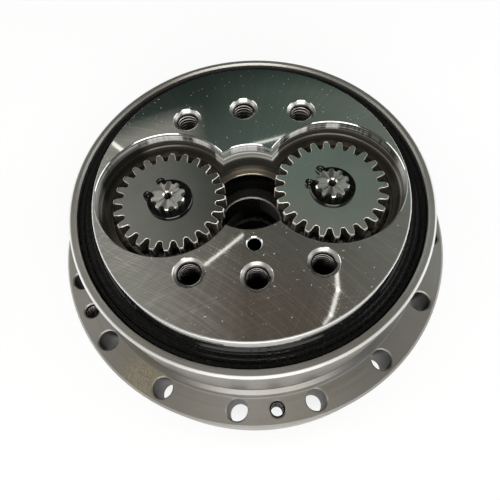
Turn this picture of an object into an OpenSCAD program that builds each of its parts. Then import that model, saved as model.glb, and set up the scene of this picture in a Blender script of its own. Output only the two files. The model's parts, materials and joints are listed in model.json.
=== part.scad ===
// Two-stage cycloidal reducer: spur gears turn two crankshafts, whose eccentrics drive two
// cycloid discs round a ring of pins. Z is the output axis, the base is at z = 0, and the
// crankshafts stand on the X axis.

/* [Overall] */
// Height from the base to the output face
height = 76; // [74:0.5:82]
// Depth of the case rim below the output face
rim_drop = 5; // [3:0.5:6]
// Height of the hold flange above the case's base
hold_recess = 1; // [0.5:0.25:2]

/* [Cycloid stage] */
// Pins in the ring: one more than the lobes of a disc
pin_count = 40; // [36:1:42]
// Radius of the circle through the pin centres
pin_circle_r = 65; // [64.5:0.5:67]
// Radius of a ring pin
pin_r = 3; // [2.7:0.1:3.2]
// Eccentricity of the crankshafts
ecc = 1.3; // [1:0.05:1.4]
// Axial gap on each side of a disc
disc_gap = 0.7; // [0.4:0.1:0.9]
// Gap between disc lobes and pins
mesh_gap = 0.14; // [0.12:0.01:0.2]
// Bore at the middle of a disc
disc_bore_r = 14.4; // [13.5:0.1:15]
// Chamfer of a disc's bores
disc_chamfer = 0.5; // [0.2:0.1:0.8]
// Room round a column in its window, on top of the eccentricity
window_gap = 0.9; // [0.5:0.1:1.5]

/* [Spur stage] */
// Module of the spur gears
gear_module = 2; // [1.9:0.05:2]
// Teeth of the input gear that the pair is laid out for
input_teeth = 12; // [11:1:12]
// Teeth of a spur gear
gear_teeth = 24; // [23:1:24]
// Profile shift of a spur gear, in modules
gear_shift = -0.4; // [-0.4:0.05:-0.2]
// Face width of a spur gear
gear_w = 6.5; // [5:0.25:7.5]
// Depth of the gear's face below the output face
gear_drop = 6.6; // [5:0.2:7]
// Angle of one tooth of each gear
gear_phase = 12.4; // [0:0.1:15]
// Chamfer at the tooth ends
gear_chamfer = 0.4; // [0.2:0.05:0.6]

/* [Crankshafts] */
// Direction of the upper eccentrics at rest
crank_angle = 248; // [0:1:360]
// Radius of an eccentric
eccentric_r = 12.5; // [12:0.1:12.8]
// Radius of the bearing journals
journal_r = 8; // [7.8:0.05:8.1]
// Depth of the crankshaft's end below the output face
crank_drop = 3.1; // [2:0.1:4]
// Height of the crankshaft's lower end above the base
crank_foot = 3; // [2:0.5:4]
// Teeth of the splined end
spline_teeth = 10; // [9:1:10]
// Module of the spline
spline_module = 1.35; // [1.3:0.01:1.36]
// Angle of one spline tooth
spline_phase = 14; // [0:0.5:36]
// Radius of the centre hole in each end
centre_hole_r = 1.7; // [1:0.1:2]
// Thickness of the washers beside the eccentrics
washer_t = 1; // [0.8:0.05:1.2]
// Thickness of the gear's retaining ring
circlip_t = 1.2; // [1:0.1:1.5]

/* [Needle bearings] */
// Radius of a needle
needle_r = 1.9; // [1.7:0.05:1.95]
// Needles in a set
needle_count = 18; // [14:1:18]
// Gap between a needle and each raceway
needle_gap = 0.1; // [0.05:0.01:0.15]
// Thickness of the needle cage
needle_cage_t = 1.6; // [1.2:0.1:2]

/* [Crank bearings] */
// Outside radius of the tapered bearing
cup_r = 16.2; // [16.1:0.05:16.4]
// Width of the whole bearing
taper_w = 12; // [12:0.25:13]
// Width of the cup
cup_w = 10; // [9:0.25:10]
// Width of the cone
cone_w = 11; // [10.9:0.05:11.4]
// Slope of the roller axes
roller_tilt = 12; // [10:0.5:13]
// Mean radius of a roller
roller_r = 1.6; // [1.5:0.02:1.62]
// Length of a roller
roller_len = 8; // [7:0.25:8]
// Rollers in a bearing
roller_count = 16; // [12:1:16]
// Gap between a roller and each raceway
roller_gap = 0.08; // [0.05:0.01:0.1]
// Thickness of the cage
taper_cage_t = 0.9; // [0.6:0.1:1]
// Thickness of the ring that holds the cup
snap_t = 1.4; // [1:0.1:1.6]

/* [Main bearings] */
// Width of a main bearing
main_w = 13; // [12.5:0.25:13.25]
// Depth of its section, from bore to outside
main_section = 13; // [12.6:0.1:13.4]
// Radius of a ball
main_ball_r = 4; // [3.6:0.05:4.1]
// Balls in a bearing
main_ball_count = 36; // [28:1:40]
// Gap between a ball and its raceways
main_gap = 0.1; // [0.05:0.01:0.15]
// Thickness of the cage
main_cage_t = 1.8; // [1.2:0.1:2]
// How far the ball circle lies outside the pin circle
pin_cover = 0.5; // [0.2:0.1:1]

/* [Case] */
// Width of the mounting flange
flange_w = 15; // [14:0.5:20]
// Thickness of the mounting flange
flange_t = 25; // [18:0.5:28]
// Height of the flange above the base
flange_z = 11; // [8:0.5:14]
// Wall of the rim outside the seal
rim_wall = 3.5; // [2.5:0.25:5]
// How much smaller the lower nose is than the upper register
nose_step = 1; // [0:0.25:3]
// Through holes in the flange
bolt_count = 16; // [8:4:16]
// Radius of a flange hole
bolt_hole_r = 4.5; // [3:0.25:5]
// Distance of the flange holes from the flange's edge
bolt_inset = 7; // [6.5:0.25:8]
// Radius of a jacking hole before its thread is cut
jack_hole_r = 3.4; // [2:0.1:4]
// Angle of the first jacking hole, midway between two flange holes
case_phase = -87.1; // [-90:0.1:-80]
// Edge chamfer of the case
case_chamfer = 1; // [0.5:0.1:1.5]
// Chamfer of the flange holes
hole_chamfer = 0.6; // [0.3:0.1:1]

/* [Oil seal] */
// Depth of the seal's section
seal_section = 8.5; // [8.4:0.1:10]
// Depth of the seal's face below the output face
seal_drop = 7; // [6:0.5:8]
// Width of the seal
seal_w = 9; // [8.5:0.25:9.5]
// Gap between the lips and the shaft
lip_gap = 0.1; // [0.05:0.01:0.15]
// Thickness of the steel insert
insert_t = 1; // [0.8:0.1:1.2]
// Radius of the garter spring's coil
garter_r = 0.8; // [0.6:0.05:0.9]

/* [Output shaft] */
// Height of the shaft's head above the main bearing
head_h = 18; // [17.5:0.25:18.25]
// How far the head stands out past the ball circle
head_over = 2.5; // [2:0.1:2.8]
// Room round a gear in its pocket
pocket_gap = 5.6; // [5:0.1:5.7]
// Depth of the gear pockets
pocket_depth = 14; // [14:0.1:14.5]
// Depth of the sunk floor under each gear
floor_depth = 15.5; // [15.1:0.1:15.8]
// Width of the ledge round the sunk floor
ledge_w = 1.6; // [1:0.1:3]
// Depth of the line where the pocket wall steps in
wall_step_depth = 8.2; // [6:0.2:10]
// Radius of the middle pocket
centre_pocket_r = 21.4; // [20:0.1:22]
// Depth of the middle pocket
centre_pocket_depth = 19; // [17:0.25:21]
// Bore under the middle pocket
centre_bore_r = 18.5; // [16:0.1:18.5]
// Edge chamfer of the head
head_chamfer = 0.6; // [0.3:0.05:0.6]
// Edge chamfer of the pockets
pocket_chamfer = 0.4; // [0.2:0.05:0.4]
// Radius of a tapped hole before its thread is cut
tap_r = 5.1; // [4:0.1:5.2]
// Depth of the tapped holes
tap_depth = 22; // [16:0.5:24]
// Distance of the outer tapped holes from the Y axis
tap_x = 26.6; // [24:0.1:28]
// Distance of the outer tapped holes from the X axis
tap_y = 38.4; // [38:0.1:42]
// Distance of the middle tapped holes from the X axis
tap_mid_y = 42.3; // [40:0.1:46]
// Radius of the small hole in the output face
dowel_hole_r = 2.9; // [2:0.1:3]
// Distance of the small hole from the X axis
dowel_hole_y = 28.2; // [26:0.1:30]
// Depth of the small hole
dowel_hole_depth = 12; // [8:0.5:16]

/* [Columns and clamping] */
// Inner radius of a column
column_r0 = 24; // [23:0.25:26]
// Outer radius of a column
column_r1 = 51; // [49:0.25:52]
// Half of the angle that a column spans
column_half = 36; // [34:0.5:38]
// Corner radius of a column
column_corner = 4; // [2:0.25:5]
// Radius of the clamping bolts
clamp_r = 5; // [4:0.25:5]
// Circle of the clamping bolts
clamp_circle_r = 42; // [41:0.25:43]
// Angle between the two clamping bolts of a column
clamp_step = 26; // [25:0.5:27]
// Metal left between a clamping bolt's hole and the head
clamp_web = 3.1; // [2:0.1:6]
// Share of its hole in the column that a clamping bolt fills
clamp_fill = 0.87; // [0.7:0.01:0.9]
// Radius of the dowel pins
pin_dowel_r = 3; // [2:0.1:3.5]
// Circle of the dowel pins
pin_dowel_circle_r = 31; // [30:0.25:32]
// Thickness of the hold flange
hold_t = 17.4; // [16.5:0.1:19]
// Bore of the hold flange
hold_bore_r = 14.4; // [13:0.1:16]

/* [Hidden] */
$fn = 96;
small_fn = 32;
eps = 0.01;
fit = 0.02;

// Radial layout, from the pin circle outwards
main_pitch_r = pin_circle_r + pin_cover;
main_bore_r = main_pitch_r - main_section / 2;
main_od_r = main_pitch_r + main_section / 2;
shaft_r = main_pitch_r + head_over;
seal_r = shaft_r + seal_section;
register_r = seal_r + rim_wall;
flange_r = register_r + flange_w;
bolt_circle_r = flange_r - bolt_inset;
nose_r = register_r - nose_step;
land_r = pin_circle_r + 0.3;
crank_x = gear_module * (input_teeth + gear_teeth) / 2;
disc_hole_r = eccentric_r + 2 * (needle_r + needle_gap);
needle_pitch_r = eccentric_r + needle_r + needle_gap;

// Levels: the head hangs from the output face, the hold flange stands near the base
z_face = height;
z_rim = z_face - rim_drop;
z_seal_top = z_face - seal_drop;
z_seal = z_seal_top - seal_w;
z_head = z_face - head_h;
z_race_upper = z_head - main_w;
race_margin = 0.5;
z_shaft_in = z_race_upper - race_margin;
z_hold = hold_recess;
z_hold_in = z_hold + hold_t;
z_race_lower_top = z_hold_in - race_margin;
z_race_lower = z_race_lower_top - main_w;
z_flange_top = flange_z + flange_t;
z_gear_top = z_face - gear_drop;
z_gear = z_gear_top - gear_w;
z_crank_top = z_face - crank_drop;

// The two discs share the room between the shaft and the hold flange
disc_t = (z_shaft_in - z_hold_in - 3 * disc_gap) / 2;
z_disc_lower = z_hold_in + disc_gap;
z_disc_upper = z_disc_lower + disc_t + disc_gap;
z_middle = z_disc_upper - disc_gap / 2;

// Eccentrics stand a little proud of the discs, washers lie on them, then the cones
ecc_over = 0.3;
z_ecc_top = z_disc_upper + disc_t + ecc_over;
z_ecc_bottom = z_disc_lower - ecc_over;
z_cone_upper = z_ecc_top + washer_t;
z_cone_lower = z_ecc_bottom - washer_t;

LEFT = -1;
RIGHT = 1;
UPPER = 1;
LOWER = -1;

// ---- Shared shapes ----

module at_crank(side) {
    translate([side * crank_x, 0, 0]) children();
}

// The axis of an eccentric: the lower one points away from the upper one
module at_eccentric(side, level) {
    at_crank(side) rotate(crank_angle) translate([level * ecc, 0, 0]) children();
}

module ring(r0, r1, h) {
    difference() {
        cylinder(r = r1, h = h);
        translate([0, 0, -eps]) cylinder(r = r0, h = h + 2 * eps);
    }
}

// A drilled hole downwards from z = 0, with a countersunk mouth and a drill point
module drilled_hole(r, depth, mouth) {
    translate([0, 0, -depth]) cylinder(r = r, h = depth + eps);
    translate([0, 0, -depth - r * tan(31)]) cylinder(r1 = 0, r2 = r, h = r * tan(31) + eps);
    translate([0, 0, -mouth]) cylinder(r1 = r, r2 = r + mouth + eps, h = mouth + eps);
}

function arc_points(centre, r, from, to, steps) =
    [for (i = [1:steps]) let (a = from + (to - from) * i / steps) centre + r * [cos(a), sin(a)]];

// A sector between two arcs round the X axis, with its flanks on rays and its corners rounded
function rounded_sector(r0, r1, half, corner) =
    let (
        inner = half - asin(corner / (r0 + corner)),
        outer = half - asin(corner / (r1 - corner)),
        inner_centre = (r0 + corner) * [cos(inner), sin(inner)],
        outer_centre = (r1 - corner) * [cos(outer), sin(outer)]
    )
    concat(
        arc_points([0, 0], r1, -outer, outer, 24),
        arc_points(outer_centre, corner, outer, half + 90, 5),
        arc_points(inner_centre, corner, half + 90, inner + 180, 5),
        arc_points([0, 0], r0, inner, -inner, 12),
        arc_points([inner_centre.x, -inner_centre.y], corner, 180 - inner, 270 - half, 5),
        arc_points([outer_centre.x, -outer_centre.y], corner, 270 - half, 360 - outer, 5)
    );

// ---- Toothed outlines, as a rack cutter of the same module would leave them ----

fillet_steps = 3;
flank_steps = 4;

// Polar place of point q, given from the pitch point, once the rack has moved by travel
function rolled(pitch_r, q, travel) =
    [norm([q.x, pitch_r + q.y]), atan2(q.x, pitch_r + q.y) - travel / pitch_r * 180 / PI];

// One side of a tooth gap from root to tip, as [radius, angle from the gap's centre line]
function gap_side(m, teeth, shift, slope, ded, tip_r, round_r, grow) =
    let (
        pitch_r = m * teeth / 2,
        rack_half = PI * m / 4 - shift * m * tan(slope) - grow / cos(slope),
        sink = m * (ded - shift) - grow - round_r,
        arc_x = rack_half - sink * tan(slope) - round_r / cos(slope),
        start = sink / sin(slope) + round_r,
        end = pitch_r * sin(slope) - sqrt(pow(tip_r + grow, 2) - pow(pitch_r * cos(slope), 2))
    )
    concat(
        [for (i = [0:fillet_steps])
            let (turn = 90 - (90 - slope) * i / fillet_steps, x = sink / tan(turn))
            rolled(pitch_r, [x + round_r * cos(turn), -sink - round_r * sin(turn)], x - arc_x)],
        [for (i = [1:flank_steps])
            let (t = start + (end - start) * i / flank_steps)
            rolled(pitch_r, [t * cos(slope), -t * sin(slope)], t / cos(slope) - rack_half)]
    );

// Whole outline, with a tooth on the X axis
function toothed_outline(teeth, side) =
    let (last = len(side) - 1)
    [for (k = [0:teeth - 1]) let (middle = (k + 0.5) * 360 / teeth)
        each concat(
            [for (i = [last:-1:0]) side[i][0] * [cos(middle - side[i][1]), sin(middle - side[i][1])]],
            [for (p = side) p[0] * [cos(middle + p[1]), sin(middle + p[1])]]
        )];

gear_pitch_r = gear_module * gear_teeth / 2;
gear_tip_r = gear_pitch_r + gear_module * (1 + gear_shift);
gear_round_r = 0.38 * gear_module;
gear_side = gap_side(gear_module, gear_teeth, gear_shift, 20, 1.25, gear_tip_r, gear_round_r, 0);

spline_slope = 30;
spline_tip_r = spline_module * (spline_teeth / 2 + 0.6);

function spline_side(grow) =
    gap_side(spline_module, spline_teeth, 0, spline_slope, 0.65, spline_tip_r,
        0.2 * spline_module, grow);

// ---- Cycloid disc ----

lobe_count = pin_count - 1;
lobe_steps = 16;

// Point of the disc outline: the envelope of the pins seen from the disc, with a gap
function lobe_point(t) =
    let (
        lean = atan2(sin(-lobe_count * t), pin_circle_r / (ecc * pin_count) - cos(lobe_count * t)),
        reach = pin_r + mesh_gap
    )
    [
        pin_circle_r * cos(t) - reach * cos(t + lean) - ecc * cos(pin_count * t),
        pin_circle_r * sin(t) - reach * sin(t + lean) - ecc * sin(pin_count * t)
    ];

// Points crowd together in the hollows, where the outline turns fastest
lobe_outline = [
    for (i = [0:lobe_count * lobe_steps - 1])
        let (u = 360 * i / (lobe_count * lobe_steps), bend = 0.85 * sin(lobe_count * u) * 180 / PI)
        lobe_point(u - bend / lobe_count)
];

window_margin = ecc + window_gap;

module column_2d(margin) {
    for (flip = [90, 270]) {
        rotate(flip) polygon(rounded_sector(column_r0 - margin, column_r1 + margin,
            column_half + atan(margin / column_r0), column_corner));
    }
}

// The lower disc sits half a lobe round from the upper one
module cycloid_disc(level, z) {
    phase = level == UPPER ? 0 : 180 / lobe_count;
    bores = [[-crank_x, disc_hole_r], [0, disc_bore_r], [crank_x, disc_hole_r]];
    rotate(crank_angle) translate([level * ecc, 0, z]) rotate(-crank_angle)
        difference() {
            linear_extrude(disc_t) difference() {
                rotate(phase) polygon(lobe_outline);
                column_2d(window_margin);
                for (bore = bores) {
                    translate([bore[0], 0]) circle(r = bore[1]);
                }
            }
            for (bore = bores) {
                translate([bore[0], 0, 0]) bore_mouths(bore[1], disc_t, disc_chamfer);
            }
        }
}

// Chamfers at both ends of a bore of radius r
module bore_mouths(r, h, c) {
    translate([0, 0, -eps]) cylinder(r1 = r + c + eps, r2 = r, h = c + eps);
    translate([0, 0, h - c]) cylinder(r1 = r, r2 = r + c + eps, h = c + eps);
}

module chamfered_cylinder(r, h, c) {
    rotate_extrude() polygon([[0, 0], [r - c, 0], [r, c], [r, h - c], [r - c, h], [0, h]]);
}

module chamfered_bore(r, h, c) {
    rotate_extrude() polygon([
        [0, -eps], [r + c + eps, -eps], [r, c], [r, h - c], [r + c + eps, h + eps], [0, h + eps]
    ]);
}

// ---- Case and what is fixed in it ----

jack_angles = [case_phase, case_phase - 67.5, case_phase + 180, case_phase + 112.5];

module case() {
    shoulder = 2;
    shoulder_h = 1.6;
    cove = 1.2;
    c = case_chamfer;
    color("silver")
        difference() {
            rotate_extrude() difference() {
                polygon([
                    [land_r - 1, 0], [nose_r - c, 0], [nose_r, c], [nose_r, flange_z],
                    [flange_r - c, flange_z], [flange_r, flange_z + c],
                    [flange_r, z_flange_top - c], [flange_r - c, z_flange_top],
                    [register_r + shoulder + cove, z_flange_top],
                    [register_r + shoulder, z_flange_top + cove],
                    [register_r + shoulder, z_flange_top + shoulder_h],
                    [register_r, z_flange_top + shoulder_h + shoulder / 2],
                    [register_r, z_rim - c], [register_r - c, z_rim], [land_r - 1, z_rim]
                ]);
                case_bore_2d();
            }
            ring_pin_shapes(fit, z_race_upper - z_race_lower_top + 2 * eps, z_race_lower_top - eps);
            for (k = [0:bolt_count - 1]) {
                rotate(case_phase + (k + 0.5) * 360 / bolt_count)
                    translate([bolt_circle_r, 0, flange_z])
                    chamfered_bore(bolt_hole_r, flange_t, hole_chamfer);
            }
            for (angle = jack_angles) {
                rotate(angle) translate([bolt_circle_r, 0, flange_z])
                    chamfered_bore(jack_hole_r, flange_t, hole_chamfer);
            }
        }
}

module case_bore_2d() {
    c = 0.8;
    polygon([
        [0, -eps], [main_od_r + c + eps, -eps], [main_od_r, c], [main_od_r, z_race_lower_top],
        [land_r, z_race_lower_top], [land_r, z_race_upper], [main_od_r, z_race_upper],
        [main_od_r, z_seal - c], [main_od_r + c, z_seal], [seal_r, z_seal],
        [seal_r, z_rim - c], [seal_r + c + eps, z_rim + eps], [0, z_rim + eps]
    ]);
}

module ring_pin_shapes(grow, h, z) {
    for (k = [0:pin_count - 1]) {
        rotate(crank_angle / pin_count + k * 360 / pin_count)
            translate([pin_circle_r, 0, z]) cylinder(r = pin_r + grow, h = h, $fn = small_fn);
    }
}

module ring_pins() {
    end_gap = 0.4;
    length = z_race_upper - z_race_lower_top - 2 * end_gap;
    color("gainsboro") ring_pin_shapes(0, length, z_race_lower_top + end_gap);
}

// The insert is an angle ring moulded into the rubber, open at the seal's foot
module seal_insert_2d(grow) {
    leg_r = seal_r - 0.14 * seal_section;
    foot_r = shaft_r + 0.35 * seal_section;
    top = z_seal + 0.78 * seal_w;
    translate([leg_r - insert_t - grow, z_seal]) square([insert_t + 2 * grow, top - z_seal + grow]);
    translate([foot_r, top - insert_t - grow])
        square([leg_r - foot_r + grow, insert_t + 2 * grow]);
}

module oil_seal() {
    outer = seal_r - fit;
    lip_r = shaft_r + lip_gap;
    web_top = z_seal_top - 0.9;
    web_bottom = z_seal + 0.59 * seal_w;
    heel_r = seal_r - 0.4 * seal_section;
    lip_inside = lip_r + 0.31 * seal_section;
    color("#141414")
        rotate_extrude() difference() {
            union() {
                polygon([
                    [heel_r, z_seal], [outer, z_seal], [outer, z_seal_top - 0.8],
                    [outer - 0.5, z_seal_top - 0.2], [outer - 1.2, z_seal_top],
                    [outer - 2.2, z_seal_top - 0.1], [outer - 2.8, web_top],
                    [lip_r + 1.7, web_top], [lip_r + 0.8, z_seal_top - 0.5],
                    [lip_r, z_seal_top - 0.2], [lip_r, z_seal_top - 0.5],
                    [lip_r + 1.1, web_bottom + 0.6], [lip_r + 0.7, z_seal + 0.44 * seal_w],
                    [lip_r, z_seal + 0.33 * seal_w], [lip_r + 0.5, z_seal + 0.18 * seal_w],
                    [lip_inside, z_seal + 0.18 * seal_w], [lip_inside, web_bottom],
                    [heel_r, web_bottom]
                ]);
                for (ridge = [lip_r + 2.3, outer - 4]) {
                    translate([ridge, web_top]) circle(r = 0.55, $fn = small_fn);
                }
            }
            seal_insert_2d(fit);
            garter_2d(garter_r + fit);
        }
}

module garter_2d(r) {
    translate([shaft_r + lip_gap + 0.31 * seal_section, z_seal + 0.32 * seal_w])
        circle(r = r, $fn = small_fn);
}

module seal_insert() {
    color("slategray") rotate_extrude() seal_insert_2d(0);
}

module garter_spring() {
    color("lightsteelblue") rotate_extrude() garter_2d(garter_r);
}

// ---- Main bearings: angular contact, set back to back ----

race_high = 1.5;
race_low = 3.3;

// Section of the upper bearing, with z = 0 at the face towards the discs
module main_outer_race_2d() {
    difference() {
        polygon([
            [main_pitch_r + race_high, 0], [main_od_r - fit, 0], [main_od_r - fit, main_w],
            [main_pitch_r + race_low, main_w], [main_pitch_r + race_low, main_w / 2],
            [main_pitch_r + race_high, main_w / 2]
        ]);
        translate([main_pitch_r, main_w / 2]) circle(r = main_ball_r + main_gap);
    }
}

module main_inner_race_2d() {
    difference() {
        polygon([
            [main_bore_r + fit, 0], [main_pitch_r - race_low, 0],
            [main_pitch_r - race_low, main_w / 2], [main_pitch_r - race_high, main_w / 2],
            [main_pitch_r - race_high, main_w], [main_bore_r + fit, main_w]
        ]);
        translate([main_pitch_r, main_w / 2]) circle(r = main_ball_r + main_gap);
    }
}

module at_main_bearing(level) {
    if (level == UPPER) {
        translate([0, 0, z_race_upper]) children();
    } else {
        translate([0, 0, z_race_lower_top]) mirror([0, 0, 1]) children();
    }
}

module main_outer_race(level) {
    color("lightslategray") at_main_bearing(level) rotate_extrude() main_outer_race_2d();
}

module main_inner_race(level) {
    color("slategray") at_main_bearing(level) rotate_extrude() main_inner_race_2d();
}

module main_balls(level) {
    color("whitesmoke") at_main_bearing(level)
        for (k = [0:main_ball_count - 1]) {
            rotate(k * 360 / main_ball_count) translate([main_pitch_r, 0, main_w / 2])
                sphere(r = main_ball_r, $fn = small_fn);
        }
}

module main_cage(level) {
    half_w = main_ball_r + 1.4;
    color("goldenrod") at_main_bearing(level)
        difference() {
            translate([0, 0, main_w / 2 - half_w])
                ring(main_pitch_r - main_cage_t / 2, main_pitch_r + main_cage_t / 2, 2 * half_w);
            for (k = [0:main_ball_count - 1]) {
                rotate(k * 360 / main_ball_count)
                    translate([main_pitch_r - main_cage_t, 0, main_w / 2]) rotate([0, 90, 0])
                    cylinder(r = main_ball_r + 0.12, h = 2 * main_cage_t, $fn = small_fn);
            }
        }
}

// ---- Carrier: output shaft with two columns, clamped to the hold flange ----

gear_pocket_r = gear_tip_r + pocket_gap;
groove_r = cup_r + 1;

module output_shaft() {
    shoulder_c = 1.5;
    neck_r = main_bore_r;
    color("lightgray")
        difference() {
            union() {
                rotate_extrude() polygon([
                    [0, z_shaft_in], [neck_r, z_shaft_in], [neck_r, z_head],
                    [shaft_r - shoulder_c, z_head], [shaft_r, z_head + shoulder_c],
                    [shaft_r, z_face - head_chamfer], [shaft_r - head_chamfer, z_face], [0, z_face]
                ]);
                translate([0, 0, z_hold_in])
                    linear_extrude(z_shaft_in - z_hold_in + eps) column_2d(0);
            }
            centre_pocket();
            for (side = [LEFT, RIGHT]) {
                at_crank(side) gear_pocket();
            }
            for (p = tap_places()) {
                translate([p.x, p.y, z_face]) drilled_hole(tap_r, tap_depth, 1.5);
            }
            translate([0, -dowel_hole_y, z_face]) drilled_hole(dowel_hole_r, dowel_hole_depth, 0.6);
            clamp_holes(clamp_r + fit, clamp_depth);
            dowel_holes(fit);
        }
}

function tap_places() = concat(
    [for (x = [-tap_x, tap_x], y = [-tap_y, tap_y]) [x, y]],
    [[0, -tap_mid_y], [0, tap_mid_y]]
);

module centre_pocket() {
    translate([0, 0, z_shaft_in - eps]) cylinder(r = centre_bore_r, h = head_h + main_w + 1);
    translate([0, 0, z_face - centre_pocket_depth])
        cylinder(r = centre_pocket_r, h = centre_pocket_depth + eps);
    translate([0, 0, z_face - centre_pocket_depth - 0.5])
        cylinder(r1 = centre_bore_r, r2 = centre_bore_r + 0.5 + eps, h = 0.5 + eps);
    pocket_mouth(centre_pocket_r);
}

module pocket_mouth(r) {
    translate([0, 0, z_face - pocket_chamfer])
        cylinder(r1 = r, r2 = r + pocket_chamfer + eps, h = pocket_chamfer + eps);
}

// A gear pocket over the bore that takes the upper crank bearing
module gear_pocket() {
    wall_step = 0.5;
    r = gear_pocket_r;
    translate([0, 0, z_face - wall_step_depth]) cylinder(r = r, h = wall_step_depth + eps);
    translate([0, 0, z_face - pocket_depth]) cylinder(r = r - wall_step, h = pocket_depth);
    translate([0, 0, z_face - floor_depth]) cylinder(r = r - wall_step - ledge_w, h = floor_depth);
    pocket_mouth(r);
    translate([0, 0, z_shaft_in - eps]) cylinder(r = cup_r, h = z_face - floor_depth - z_shaft_in + 1);
    translate([0, 0, snap_z(UPPER)]) cylinder(r = groove_r, h = snap_t);
}

module clamp_places() {
    for (flip = [90, 270], turn = [-0.5, 0.5]) {
        rotate(flip + turn * clamp_step) translate([clamp_circle_r, 0, 0]) children();
    }
}

module clamp_holes(r, depth) {
    clamp_places() translate([0, 0, z_hold_in - eps]) {
        cylinder(r = r, h = depth, $fn = small_fn);
        translate([0, 0, depth]) cylinder(r1 = r, r2 = 0, h = r * tan(31), $fn = small_fn);
    }
}

module dowel_places() {
    for (flip = [90, 270], turn = [-20, 20]) {
        rotate(flip + turn) translate([pin_dowel_circle_r, 0, 0]) children();
    }
}

dowel_foot = 5;
dowel_reach = 13;

module dowel_holes(grow) {
    dowel_places() translate([0, 0, z_hold - eps])
        cylinder(r = pin_dowel_r + grow, h = z_hold_in - z_hold + dowel_reach + 1, $fn = small_fn);
}

clamp_depth = z_shaft_in - z_hold_in - clamp_web;
head_bolt_h = 2 * clamp_r;
head_bolt_r = 1.6 * clamp_r;
counterbore_h = 1.05 * head_bolt_h;

module hold_flange() {
    lip_r = main_pitch_r - race_low + 1;
    c = 0.8;
    color("darkgray")
        difference() {
            rotate_extrude() polygon([
                [hold_bore_r + c, z_hold], [lip_r - c, z_hold], [lip_r, z_hold + c],
                [lip_r, z_race_lower], [main_bore_r, z_race_lower],
                [main_bore_r, z_hold_in - c], [main_bore_r - c, z_hold_in],
                [hold_bore_r + c, z_hold_in], [hold_bore_r, z_hold_in - c], [hold_bore_r, z_hold + c]
            ]);
            for (side = [LEFT, RIGHT]) {
                at_crank(side) {
                    translate([0, 0, z_hold - eps]) cylinder(r = cup_r, h = z_hold_in);
                    translate([0, 0, z_hold - eps])
                        cylinder(r1 = cup_r + c + eps, r2 = cup_r, h = c + eps);
                    translate([0, 0, snap_z(LOWER)]) cylinder(r = groove_r, h = snap_t);
                }
            }
            clamp_places() {
                translate([0, 0, z_hold - eps]) cylinder(r = 1.06 * clamp_r, h = z_hold_in);
                translate([0, 0, z_hold - eps]) cylinder(r = 1.06 * head_bolt_r, h = counterbore_h);
            }
            dowel_holes(fit);
        }
}

module clamp_bolts() {
    seat = z_hold + counterbore_h - eps;
    socket_r = 0.8 * clamp_r / cos(30);
    c = 0.12 * clamp_r;
    shank_h = z_hold_in + clamp_fill * clamp_depth - seat;
    color("#3a3a3c")
        clamp_places() difference() {
            union() {
                translate([0, 0, seat]) cylinder(r = clamp_r, h = shank_h, $fn = small_fn);
                translate([0, 0, seat - head_bolt_h]) rotate_extrude($fn = small_fn) polygon([
                    [0, 0], [head_bolt_r - c, 0], [head_bolt_r, c],
                    [head_bolt_r, head_bolt_h], [0, head_bolt_h]
                ]);
            }
            translate([0, 0, seat - head_bolt_h - eps])
                cylinder(r = socket_r, h = clamp_r, $fn = 6);
        }
}

module dowel_pins() {
    color("gainsboro") dowel_places() translate([0, 0, dowel_foot])
        cylinder(r = pin_dowel_r, h = z_hold_in + dowel_reach - dowel_foot, $fn = small_fn);
}

// ---- Crank bearings: tapered rollers, in a frame with the cone's back face at z = 0 ----

roller_z = taper_w / 2 + 0.2;
roller_pitch_r = (journal_r + cup_r) / 2 - 0.2;
roller_cone = atan(roller_r * sin(roller_tilt) / roller_pitch_r);
end_gap = 0.15;

function cone_race_r(z) =
    let (slope = roller_tilt - roller_cone)
    roller_pitch_r - roller_r / cos(slope) - (z - roller_z) * tan(slope);
function cup_race_r(z) =
    let (slope = roller_tilt + roller_cone)
    roller_pitch_r + roller_r / cos(slope) - (z - roller_z) * tan(slope);

// Height of the plane of a roller's end at radius r: end is -1 at the large end and 1 at the small
function roller_end_z(r, end) =
    let (
        end_r = roller_pitch_r - end * roller_len / 2 * sin(roller_tilt),
        end_z = roller_z + end * roller_len / 2 * cos(roller_tilt)
    )
    end_z + end * end_gap + (r - end_r) * tan(roller_tilt);

function snap_z(level) =
    level == UPPER ? z_cone_upper + taper_w : z_cone_lower - taper_w - snap_t;

module at_crank_bearing(side, level) {
    at_crank(side)
        if (level == UPPER) {
            translate([0, 0, z_cone_upper]) children();
        } else {
            translate([0, 0, z_cone_lower]) mirror([0, 0, 1]) children();
        }
}

module crank_cup(side, level) {
    low = taper_w - cup_w;
    color("slategray") at_crank_bearing(side, level)
        rotate_extrude() polygon([
            [cup_race_r(low), low], [cup_r - fit, low], [cup_r - fit, taper_w - fit],
            [cup_race_r(taper_w - fit), taper_w - fit]
        ]);
}

module crank_cone(side, level) {
    large_rib_r = roller_pitch_r + 0.5;
    small_rib_r = cone_race_r(cone_w) + 1.3;
    large_z = roller_end_z(cone_race_r(2), -1);
    small_z = roller_end_z(cone_race_r(cone_w - 1), 1);
    color("lightslategray") at_crank_bearing(side, level)
        rotate_extrude() polygon([
            [journal_r + fit, 0], [large_rib_r, 0], [large_rib_r, roller_end_z(large_rib_r, -1)],
            [cone_race_r(large_z), large_z], [cone_race_r(small_z), small_z],
            [small_rib_r, roller_end_z(small_rib_r, 1)], [small_rib_r, cone_w], [journal_r + fit, cone_w]
        ]);
}

module at_rollers() {
    for (k = [0:roller_count - 1]) {
        rotate(k * 360 / roller_count) translate([roller_pitch_r, 0, roller_z])
            rotate([0, -roller_tilt, 0]) children();
    }
}

module crank_rollers(side, level) {
    spread = roller_len / 2 * tan(roller_cone);
    color("whitesmoke") at_crank_bearing(side, level) at_rollers()
        cylinder(h = roller_len, r1 = roller_r - roller_gap + spread,
            r2 = roller_r - roller_gap - spread, center = true, $fn = small_fn);
}

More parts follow.
